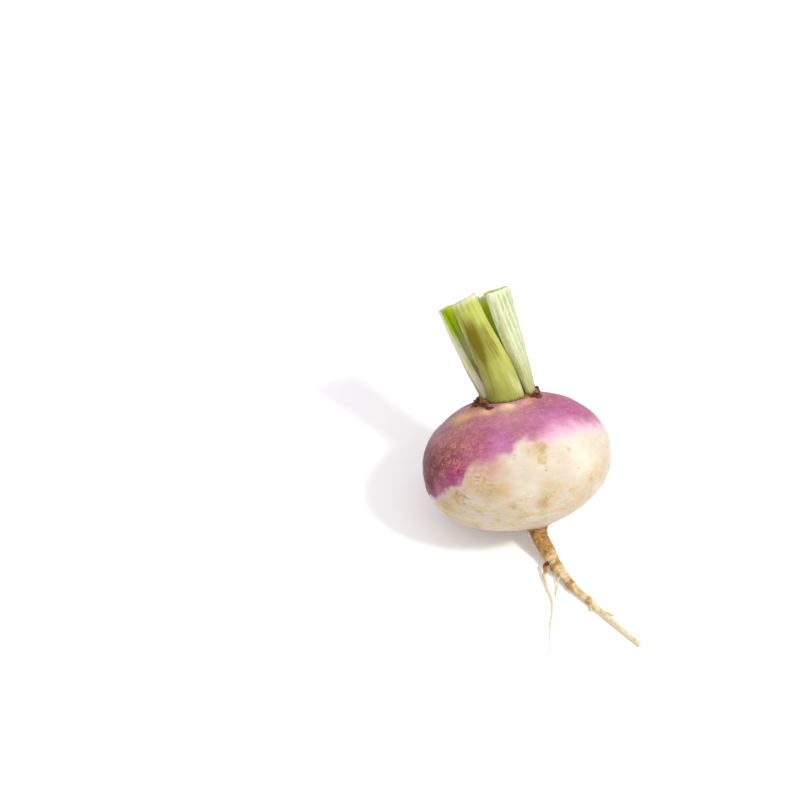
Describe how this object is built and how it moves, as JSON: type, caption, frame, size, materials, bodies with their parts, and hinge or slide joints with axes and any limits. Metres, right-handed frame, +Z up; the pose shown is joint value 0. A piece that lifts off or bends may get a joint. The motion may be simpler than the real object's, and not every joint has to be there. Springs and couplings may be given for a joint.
{
  "type": "turnip",
  "caption": "Whole purple-topped turnip lying on its side, with leaf stalks cut short above the crown and a thin bent tap root with fine side roots.",
  "frame": {"origin": "middle of the small flat spot that the bulb rests on", "axes": "+Z up from the surface it lies on; -Y towards the side where the tap root lies, +Y towards the leaning crown; +X to the right of someone who looks along +Y"},
  "size_m": [0.0884, 0.1257, 0.1001],
  "materials": {
    "skin": "satin, magenta-purple round the crown and cream below, with tan corky marks",
    "stalk": "satin, yellow-green with pale ribs"
  },
  "bodies": {
    "root": {"bulb_and_tap_root": "skin", "stalk_front": "stalk", "stalk_right": "stalk", "stalk_left": "stalk", "stalk_rear_left": "stalk", "stalk_rear_right": "stalk", "stalk_heart_front": "stalk", "stalk_heart_rear": "stalk"}
  },
  "joints": []
}
